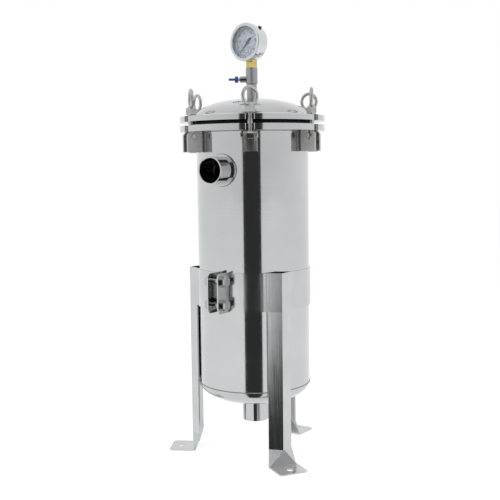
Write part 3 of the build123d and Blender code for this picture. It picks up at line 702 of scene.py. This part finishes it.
FINISHES = {
    "buffed": ["shell", "inlet_nozzle", "outlet_nozzle", "seat_ring"]
    + ["basket_body", "basket_rim", "basket_bail"],
    "spun": ["bottom_dish", "lid_dome", "body_flange", "lid_flange", "inlet_collar"],
    "folded": ["leg_left", "leg_front", "leg_rear", "clamp_ear_left", "clamp_ear_right"],
    "plate": [f"bolt_bracket_{n}" for n in range(1, STATIONS + 1)],
    "cast": [f"{part}_{n}" for n in range(1, STATIONS + 1) for part in ("swing_bolt", "eye_nut")]
    + ["clevis_pins", "split_pins", "clamp_bolts", "clamp_nuts", "clamp_washers", "vent_body"],
    "turned": ["riser_nipple", "tee"],
    "mirror": ["gauge_case", "gauge_bezel"],
    "brass": ["gauge_stem"],
    "rubber": ["gasket", "gauge_fill_plug"],
    "glass": ["gauge_lens"],
    "dial": ["gauge_dial"],
    "ink": ["gauge_pointer"],
    "handle": ["vent_handle"],
    "spindle": ["vent_stem"],
    "ring": ["bag_ring"],
    "felt": ["filter_bag"],
}


def make_finishes(colours):
    """Every material by its short name."""
    return {
        "buffed": buffed_stainless(colours.bright),
        "spun": spun_stainless(colours.bright),
        "folded": pressed_stainless(colours.bright),
        "plate": pickled_plate(colours.plate),
        "cast": cast_stainless(colours.cast),
        "turned": turned_stainless(colours.turned),
        "mirror": gauge_stainless(colours.mirror),
        "weld": weld_stainless(colours.weld),
        "brass": turned_brass(colours.brass),
        "rubber": moulded_rubber(colours.rubber),
        "glass": clear_glass(),
        "dial": enamelled_dial(colours.dial),
        "ink": printed_ink("ink_black", colours.ink),
        "alarm": printed_ink("ink_red", colours.alarm),
        "handle": moulded_plastic("nylon_blue", colours.handle, 0.35),
        "spindle": moulded_plastic("nylon_pale", colours.spindle, 0.3),
        "ring": moulded_plastic("polypropylene_ring", colours.ring, 0.45),
        "felt": needled_felt(colours.felt),
        "thread": spun_thread(colours.thread),
    }


MATERIALS = {}


class HOUSING_OT_finishes(bpy.types.Operator):
    """Makes the materials and gives each node of the frame its own"""

    bl_idname = "housing.finishes"
    bl_label = "Finishes"

    def execute(self, context):
        MATERIALS.update(make_finishes(context.scene.housing_colours))
        painted = set()
        for key, nodes in FINISHES.items():
            for name in nodes:
                data = frame["nodes"][name].data
                data.materials.clear()
                data.materials.append(MATERIALS[key])
                painted.add(name)
        bare = set(frame["nodes"]) - painted
        if bare:
            raise RuntimeError(f"nodes without a finish: {sorted(bare)}")
        return {"FINISHED"}


class HOUSING_OT_welds(bpy.types.Operator):
    """Lays weld beads along the vessel's and the lid's seams"""

    bl_idname = "housing.welds"
    bl_label = "Weld beads"

    NIPPLE_STEPS = 48
    COLLAR_STEPS = 72
    OUTLET_LIFT = 0.0000112

    def execute(self, context):
        sizes = context.scene.housing_sizes
        tree = bead_tree()
        vessel = [
            hoop(SHELL_R, SEAM_Z),
            hoop(SHELL_R, BODY_FLANGE_FOOT),
            hoop(radius_of("outlet_nozzle"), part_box("bottom_dish")[0].z + self.OUTLET_LIFT),
            self.collar_path(),
        ]
        for station in range(STATIONS):
            vessel += self.bracket_paths(2 * math.pi * station / STATIONS)
        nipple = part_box("riser_nipple")[0]
        lid = [hoop(SHELL_R, LID_FLANGE_TOP), hoop(radius_of("riser_nipple"), nipple.z, self.NIPPLE_STEPS)]
        for body, paths in (("vessel", vessel), ("lid", lid)):
            mesh = grown(
                "welds_" + body,
                tree,
                {"Width": sizes.bead_width, "Pitch": sizes.bead_pitch, "Finish": MATERIALS["weld"]},
                path_mesh(paths),
            )
            placed("welds_" + body, mesh, body)
        return {"FINISHED"}

    def collar_path(self):
        """The saddle along which the inlet's collar meets the shell."""
        centre, outward = mount_place("inlet")
        side = UP.cross(outward)
        low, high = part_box("inlet_collar")
        radius = (high.z - low.z) / 2
        points = []
        for i in range(self.COLLAR_STEPS):
            turn = 2 * math.pi * i / self.COLLAR_STEPS
            across = radius * math.cos(turn)
            reach = math.sqrt(SHELL_R**2 - across**2)
            points.append(outward * reach + side * across + UP * (centre.z + radius * math.sin(turn)))
        return points, True

    def bracket_paths(self, azimuth):
        """The two upright edges at which a bolt bracket meets the shell."""
        half = BRACKET_HIGH.x
        reach = math.sqrt(SHELL_R**2 - half**2)
        outward, side = around(azimuth, 1, 0), around(azimuth + math.pi / 2, 1, 0)
        paths = []
        for edge in (-half, half):
            foot = outward * reach + side * edge
            paths.append(([foot + UP * BRACKET_LOW.z, foot + UP * BRACKET_HIGH.z], False))
        return paths


class HOUSING_OT_threads(bpy.types.Operator):
    """Winds the thread round each swing bolt below its nut"""

    bl_idname = "housing.threads"
    bl_label = "Bolt threads"

    def execute(self, context):
        sizes = context.scene.housing_sizes
        tree = thread_tree()
        for n in range(1, STATIONS + 1):
            pivot = joint_place(f"bolt_{n}_swing")[0]
            nut_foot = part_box(f"eye_nut_{n}")[0].z
            mesh = grown(
                f"thread_{n}",
                tree,
                {
                    # The ridge's middle lies a third of its depth inside the rod
                    "Radius": sizes.rod_radius - sizes.thread_depth / 3,
                    "Length": nut_foot - BODY_FLANGE_FOOT - sizes.thread_pitch,
                    "Pitch": sizes.thread_pitch,
                    "Depth": sizes.thread_depth,
                    "Finish": MATERIALS["cast"],
                },
            )
            mesh.transform(Matrix.Translation((pivot.x, pivot.y, BODY_FLANGE_FOOT)))
            placed(f"thread_{n}", mesh, f"bolt_{n}")
        return {"FINISHED"}


class HOUSING_OT_necks(bpy.types.Operator):
    """Turns the tapered neck between each eye nut's hexagon and its ring"""

    bl_idname = "housing.necks"
    bl_label = "Nut necks"

    SUNK = 0.001
    STEPS = 8
    NARROWING = 0.52
    SEGMENTS = 32

    def execute(self, context):
        sizes = context.scene.housing_sizes
        for n in range(1, STATIONS + 1):
            pivot = joint_place(f"bolt_{n}_swing")[0]
            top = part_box(f"eye_nut_{n}")[0].z + sizes.nut_height
            rings = [(0, -self.SUNK), (sizes.neck_radius, -self.SUNK)]
            for i in range(self.STEPS + 1):
                share = i / self.STEPS
                narrow = 1 - self.NARROWING * math.sin(share * math.pi / 2)
                rings.append((sizes.neck_radius * narrow, sizes.neck_height * share))
            rings.append((0, sizes.neck_height))
            mesh = lathe(rings, Vector((pivot.x, pivot.y, top)), self.SEGMENTS)
            mesh.materials.append(MATERIALS["cast"])
            placed(f"nut_neck_{n}", mesh, f"nut_{n}")
        return {"FINISHED"}


class HOUSING_OT_dial(bpy.types.Operator):
    """Prints the gauge's scale and numbers and adds the dial's two screws"""

    bl_idname = "housing.dial"
    bl_label = "Dial marks"

    # Name, count, length and width of the scale's bars
    TICKS = (("ticks_fine", 51, 0.0018, 0.0003), ("ticks_main", 11, 0.0036, 0.0007))
    TICK_T = 0.0002
    BAND_T = 0.00012
    BAND_STEPS = 96
    LINE_W = 0.00035
    RED_W = 0.0018
    RED_OUT = 0.0006
    RED_FROM = 0.66
    HIGHEST = 10
    NUMBER_EVERY = 2
    NUMBER_SIZE = 0.0062
    NUMBER_IN = 0.0062
    NUMBER_T = 0.00008
    SCREW_ASIDE = 0.0042
    SCREW_DOWN = 0.0165
    SCREW_SEGMENTS = 24
    # Radius and height of the screw head's edges
    SCREW_HEAD = ((0, 0), (0.0017, 0), (0.0017, 0.0005), (0.0012, 0.0009), (0, 0.001))

    def execute(self, context):
        sizes = context.scene.housing_sizes
        face = dial_frame()
        tree = tick_tree()
        sweep = -sizes.scale_sweep
        for name, count, length, width in self.TICKS:
            mesh = grown(
                name,
                tree,
                {
                    "Count": count,
                    "Radius": sizes.scale_radius - length / 2,
                    "Start": sizes.scale_start,
                    "Sweep": sweep,
                    "Bar": (length, width, self.TICK_T),
                    "Finish": MATERIALS["ink"],
                },
            )
            mesh.transform(face)
            placed(name, mesh, "lid")
        self.band("scale_line", sizes.scale_radius, self.LINE_W, 0.0, face, "ink")
        self.band("scale_red", sizes.scale_radius + self.RED_OUT, self.RED_W, self.RED_FROM, face, "alarm")
        for value in range(0, self.HIGHEST + 1, self.NUMBER_EVERY):
            turn = sizes.scale_start + sweep * value / self.HIGHEST
            self.number(str(value), turn, sizes.scale_radius - self.NUMBER_IN, face)
        for name, side in (("dial_screw_left", -1), ("dial_screw_right", 1)):
            centre = face @ Vector((side * self.SCREW_ASIDE, -self.SCREW_DOWN, 0))
            mesh = lathe(self.SCREW_HEAD, centre, self.SCREW_SEGMENTS, face.to_3x3() @ UP)
            mesh.materials.append(MATERIALS["mirror"])
            placed(name, mesh, "lid")
        return {"FINISHED"}

    def band(self, name, radius, width, first, face, key):
        """A thin flat arc printed from a share of the scale to its end."""
        sizes = bpy.context.scene.housing_sizes
        shape = bmesh.new()
        steps = int(self.BAND_STEPS * (1 - first))
        rows = []
        for i in range(steps + 1):
            turn = sizes.scale_start - sizes.scale_sweep * (first + (1 - first) * i / steps)
            way = Vector((math.cos(turn), math.sin(turn), 0))
            section = ((0, 0), (width, 0), (width, self.BAND_T), (0, self.BAND_T))
            rows.append([shape.verts.new(face @ (way * (radius + out) + UP * up)) for out, up in section])
        for low, high in zip(rows, rows[1:]):
            for i in range(4):
                shape.faces.new([low[i], low[(i + 1) % 4], high[(i + 1) % 4], high[i]])
        shape.faces.new(rows[0])
        shape.faces.new(rows[-1])
        mesh = as_mesh(shape)
        mesh.shade_flat()
        mesh.materials.append(MATERIALS[key])
        placed(name, mesh, "lid")

    def number(self, text, turn, radius, face):
        """One upright number on the dial, centred on its place."""
        curve = bpy.data.curves.new("number", "FONT")
        curve.body = text
        curve.size = self.NUMBER_SIZE
        curve.align_x = "CENTER"
        curve.align_y = "CENTER"
        curve.extrude = self.NUMBER_T
        curve.resolution_u = 3
        writing = bpy.data.objects.new("number_source", curve)
        bpy.context.scene.collection.objects.link(writing)
        bpy.context.view_layer.update()
        evaluated = writing.evaluated_get(bpy.context.evaluated_depsgraph_get())
        mesh = bpy.data.meshes.new_from_object(evaluated)
        bpy.data.objects.remove(writing)
        spot = Vector((radius * math.cos(turn), radius * math.sin(turn), self.NUMBER_T))
        mesh.transform(face @ Matrix.Translation(spot))
        mesh.materials.clear()
        mesh.materials.append(MATERIALS["ink"])
        placed("number_" + text, mesh, "lid")


class HOUSING_OT_pointer(bpy.types.Operator):
    """Sets a pointer of the frame's own shape to the scale's zero"""

    bl_idname = "housing.pointer"
    bl_label = "Pointer"

    def execute(self, context):
        pivot, inward = joint_place("pointer_sweep")
        node = frame["nodes"]["gauge_pointer"]
        mesh = node.data.copy()
        turn = Matrix.Rotation(-context.scene.housing_sizes.scale_start, 4, inward)
        mesh.transform(Matrix.Translation(pivot) @ turn @ Matrix.Translation(-pivot) @ node.matrix_world)
        piece = placed("pointer_at_zero", mesh, "pointer")
        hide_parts("gauge_pointer")
        return {"FINISHED"}


class HOUSING_OT_bag(bpy.types.Operator):
    """Lofts the felt bag with its folds and sews its seam and hem"""

    bl_idname = "housing.bag"
    bl_label = "Felt bag"

    SEGMENTS = 168
    ROWS = 56
    BASE_ROWS = 14
    SEAM = math.pi
    CORNER_R = 0.024
    SIDE_GAP = 0.0006
    FLOOR_GAP = 0.0012
    # The foot's rings close in faster than an arc's, down to this share of the radius
    INNERMOST = 0.12
    CLOSING = 0.35
    # Broad folds that lean as they go down, finer ones against them, and level sags. Each has its number,
    # its share of the depth, and how far it leans or sways, in radians.
    BROAD_FOLDS, BROAD_SHARE, BROAD_LEAN, BROAD_SWAY, BROAD_SWAYS = 7, 0.55, 3.2, 0.6, 9
    FINE_FOLDS, FINE_SHARE, FINE_LEAN, FINE_START = 17, 0.25, -6.0, 1.3
    SAGS, SAG_SHARE, SAG_SWAY, SAG_SWAYS = 24, 0.2, 2, 3
    # How fast the folds reach their full depth below the ring
    SLACKENING = 5
    THREAD_R = 0.00045
    THREAD_LIFT = 0.0004
    # The stitched hem lies this many rows below the ring
    HEM_ROWS = 2
    # What a stitch fills of its pitch
    STITCH_SHARE = 0.7

    def execute(self, context):
        sizes = context.scene.housing_sizes
        shape = bmesh.new()
        loops = []
        for row in range(self.ROWS + 1):
            loops.append([shape.verts.new(self.spot(sizes, row, i)) for i in range(self.SEGMENTS)])
        for low, high in zip(loops, loops[1:]):
            for i in range(self.SEGMENTS):
                j = (i + 1) % self.SEGMENTS
                shape.faces.new([low[i], low[j], high[j], high[i]])
        foot = shape.verts.new((0, 0, BAG_LOW.z + sizes.felt_thickness))
        for i in range(self.SEGMENTS):
            shape.faces.new([foot, loops[0][(i + 1) % self.SEGMENTS], loops[0][i]])
        cloth = as_mesh(shape)
        cloth.materials.append(MATERIALS["felt"])
        bag = placed("felt_bag", cloth, "basket")
        wall = bag.modifiers.new("Wall", "SOLIDIFY")
        wall.thickness = sizes.felt_thickness
        wall.offset = -1.0
        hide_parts("filter_bag")
        self.sew(sizes)
        return {"FINISHED"}

    def spot(self, sizes, row, i):
        """A point of the bag's outer face. It hangs from a round hem and its folds deepen downwards."""
        full = BAG_R - self.SIDE_GAP
        foot = BAG_LOW.z + self.FLOOR_GAP
        turn = 2 * math.pi * i / self.SEGMENTS
        if row < self.BASE_ROWS:
            share = row / self.BASE_ROWS
            lean = math.pi / 2 * share
            radius = full - self.CORNER_R + self.CORNER_R * math.sin(lean)
            radius *= max(self.INNERMOST, share) ** self.CLOSING
            height = foot + self.CORNER_R * (1 - math.cos(lean))
        else:
            share = (row - self.BASE_ROWS) / (self.ROWS - self.BASE_ROWS)
            radius = full
            height = foot + self.CORNER_R + (BAG_HIGH.z - foot - self.CORNER_R) * share
        drop = (BAG_HIGH.z - height) / (BAG_HIGH.z - BAG_LOW.z)
        slack = min(1.0, drop * self.SLACKENING)
        sway = self.BROAD_SWAY * math.sin(self.BROAD_SWAYS * drop)
        broad = wave(self.BROAD_FOLDS * turn + self.BROAD_LEAN * drop + sway)
        fine = wave(self.FINE_FOLDS * turn + self.FINE_LEAN * drop + self.FINE_START)
        sag = wave(self.SAGS * drop + self.SAG_SWAY * math.sin(self.SAG_SWAYS * turn))
        depth = self.BROAD_SHARE * broad + self.FINE_SHARE * fine + self.SAG_SHARE * sag
        return around(turn, radius - sizes.fold_depth * slack * depth, height)

    def raised(self, point):
        """A point of the felt moved out to where a stitch lies on it."""
        return point + Vector((point.x, point.y, 0)).normalized() * self.THREAD_LIFT

    def sew(self, sizes):
        """The stitches of the upright seam and of the hem under the ring."""
        column = int(self.SEGMENTS * self.SEAM / (2 * math.pi))
        seam = [self.raised(self.spot(sizes, row, column)) for row in range(self.BASE_ROWS, self.ROWS)]
        row = self.ROWS - self.HEM_ROWS
        hem = [self.raised(self.spot(sizes, row, i)) for i in range(self.SEGMENTS)]
        values = {
            "Pitch": sizes.stitch_pitch,
            "Length": sizes.stitch_pitch * self.STITCH_SHARE,
            "Thread": self.THREAD_R,
            "Finish": MATERIALS["thread"],
        }
        mesh = grown("bag_stitches", stitch_tree(), values, path_mesh([(seam, False), (hem, True)]))
        placed("bag_stitches", mesh, "basket")


class HOUSING_OT_stage(bpy.types.Operator):
    """Lays the floor and black cloth, hangs the lamps, and sets the world and the camera"""

    bl_idname = "housing.stage"
    bl_label = "Stage, light and camera"

    CAMERA_AZIMUTH = math.radians(1.67)
    CAMERA_DISTANCE = 1.6255
    CAMERA_HEIGHT = 0.5358
    CAMERA_TURN = math.radians(0.24)
    CAMERA_PITCH = math.radians(5.62)
    CAMERA_ROLL = math.radians(0.68)
    CAMERA_LENS = 63.56
    CLOTH_SIDES = (math.radians(-18.5), math.radians(17.5))
    CLOTH_AT = 8.0
    CLOTH_HEIGHT = 6.4
    CLOTH_START = 0.02
    CLOTH_LIFT = 0.0005
    FLOOR_HALF = 9.0
    FLOOR_DROP = 0.0001
    FLOOR_COLOUR = "#F4F4F4"
    FLOOR_GLOW = 0.72
    FLOOR_STRENGTH = 1.2
    SOFT_LIGHT = 0.5
    # How bright the metal mirrors the background, and the ray's way to the back at which each level is
    MIRRORED_LEVELS, MIRRORED_WAYS = (0.84, 1.0), (-1.0, 0.6)
    # Name, place, width and power
    LAMPS = (
        ("key_lamp", (-1.3, -1.7, 2.1), 1.3, 20.0),
        ("fill_lamp", (1.8, -1.2, 1.3), 1.5, 10.0),
        ("top_lamp", (0.2, 0.9, 2.4), 1.6, 12.0),
    )

    def execute(self, context):
        colours = context.scene.housing_colours
        context.scene.view_settings.view_transform = "Standard"
        self.floor()
        self.cloth(colours)
        for lamp in self.LAMPS:
            self.lamp(*lamp)
        self.world(context)
        self.camera(context)
        return {"FINISHED"}

    def slab(self, name, points, material):
        """A flat stage piece."""
        mesh = bpy.data.meshes.new(name)
        mesh.from_pydata([tuple(p) for p in points], [], [list(range(len(points)))])
        mesh.materials.append(material)
        made = placed(name, mesh)
        return made

    def floor(self):
        """A pale floor just under the feet."""
        half, level = self.FLOOR_HALF, CAD_BOX[0][2] - self.FLOOR_DROP
        corners = [(-half, -half, level), (half, -half, level), (half, half, level), (-half, half, level)]
        paint = stage_floor(linear(self.FLOOR_COLOUR), self.FLOOR_GLOW, self.FLOOR_STRENGTH)
        self.slab("stage_floor", corners, paint)

    def cloth(self, colours):
        """Black cloth on the floor before the object and upright far off, seen in the metal only."""
        material = stage_cloth(colours.cloth)
        near, far = [], []
        for side in self.CLOTH_SIDES:
            bend = (side + self.CAMERA_AZIMUTH) / 2
            start = around(bend, SHELL_R, 0)
            way = around(side, 1, 0)
            near.append(start + way * self.CLOTH_START)
            far.append(start + way * self.CLOTH_AT)
        corners = [corner + UP * self.CLOTH_LIFT for corner in (near[0], near[1], far[1], far[0])]
        lying = self.slab("stage_cloth_floor", corners, material)
        top = UP * self.CLOTH_HEIGHT
        hung = self.slab("stage_cloth_back", [far[0], far[1], far[1] + top, far[0] + top], material)
        for piece in (lying, hung):
            piece.visible_camera = False
            piece.visible_diffuse = False
            piece.visible_transmission = False
            piece.visible_shadow = False

    def lamp(self, name, place, size, power):
        """A square soft lamp that faces the vessel's middle and that no metal mirrors."""
        light = bpy.data.lights.new(name, "AREA")
        light.shape = "SQUARE"
        light.size = size
        light.energy = power
        made = bpy.data.objects.new(name, light)
        bpy.context.scene.collection.objects.link(made)
        aim = Vector((0, 0, (CAD_BOX[0][2] + CAD_BOX[1][2]) / 2)) - Vector(place)
        turn = aim.to_track_quat("-Z", "Y").to_matrix().to_4x4()
        made.matrix_world = Matrix.Translation(place) @ turn
        made.visible_glossy = False

    def world(self, context):
        """A white background that the metal also sees, a little dimmer at the front, and soft light."""
        world = bpy.data.worlds.new("studio")
        world.use_nodes = True
        context.scene.world = world
        tree = world.node_tree
        tree.nodes.clear()
        camera = seen_by(tree, "Is Camera Ray")
        shown = seen_by(tree, *SHARP_RAYS)
        way = add(tree, "ShaderNodeTexCoord").outputs["Generated"]
        parts = add(tree, "ShaderNodeSeparateXYZ", inputs={0: way})
        depth = spread(tree, parts.outputs[1], *self.MIRRORED_LEVELS, *self.MIRRORED_WAYS)
        level = calc(tree, "MAXIMUM", depth, camera)
        soft, white = (
            add(tree, "ShaderNodeBackground", inputs={"Color": opaque((1, 1, 1)), "Strength": strength})
            for strength in (self.SOFT_LIGHT, level)
        )
        mixed = add(tree, "ShaderNodeMixShader", inputs={0: shown, 1: soft.outputs[0], 2: white.outputs[0]})
        add(tree, "ShaderNodeOutputWorld", inputs={"Surface": mixed.outputs[0]})

    def camera(self, context):
        """A long lens a little above the vessel's middle, turned and rolled as it stood."""
        heading = self.CAMERA_AZIMUTH + self.CAMERA_TURN
        level = Vector((-math.sin(heading), math.cos(heading), 0))
        right = Vector((math.cos(heading), math.sin(heading), 0))
        forward = level * math.cos(self.CAMERA_PITCH) - UP * math.sin(self.CAMERA_PITCH)
        above = UP * math.cos(self.CAMERA_PITCH) + level * math.sin(self.CAMERA_PITCH)
        roll = self.CAMERA_ROLL
        across = right * math.cos(roll) - above * math.sin(roll)
        upward = right * math.sin(roll) + above * math.cos(roll)
        lens = bpy.data.cameras.new("camera")
        lens.lens = self.CAMERA_LENS
        lens.sensor_width = 36.0
        made = bpy.data.objects.new("camera", lens)
        context.scene.collection.objects.link(made)
        turn = Matrix((across, upward, -forward)).transposed().to_4x4()
        place = around(self.CAMERA_AZIMUTH, self.CAMERA_DISTANCE, self.CAMERA_HEIGHT)
        made.matrix_world = Matrix.Translation(place) @ turn
        context.scene.camera = made


OPERATORS = (
    HOUSING_OT_finishes,
    HOUSING_OT_welds,
    HOUSING_OT_threads,
    HOUSING_OT_necks,
    HOUSING_OT_dial,
    HOUSING_OT_pointer,
    HOUSING_OT_bag,
    HOUSING_OT_stage,
)


class HOUSING_PT_panel(bpy.types.Panel):
    """Lists the sizes, colours and steps"""

    bl_idname = "HOUSING_PT_panel"
    bl_label = "Filter housing"
    bl_space_type = "VIEW_3D"
    bl_region_type = "UI"
    bl_category = "Filter housing"

    def draw(self, context):
        for group in (context.scene.housing_sizes, context.scene.housing_colours):
            box = self.layout.box()
            for name in group.__annotations__:
                box.prop(group, name)
        for operator in OPERATORS:
            self.layout.operator(operator.bl_idname)


CLASSES = (HousingSizes, HousingColours, *OPERATORS, HOUSING_PT_panel)


def register():
    for made in CLASSES:
        bpy.utils.register_class(made)
    bpy.types.Scene.housing_sizes = bpy.props.PointerProperty(type=HousingSizes)
    bpy.types.Scene.housing_colours = bpy.props.PointerProperty(type=HousingColours)


def unregister():
    del bpy.types.Scene.housing_colours
    del bpy.types.Scene.housing_sizes
    for made in reversed(CLASSES):
        bpy.utils.unregister_class(made)


def main():
    register()
    bpy.ops.housing.finishes()
    bpy.ops.housing.welds()
    bpy.ops.housing.threads()
    bpy.ops.housing.necks()
    bpy.ops.housing.dial()
    bpy.ops.housing.pointer()
    bpy.ops.housing.bag()
    bpy.ops.housing.stage()


if __name__ == "__main__":
    main()
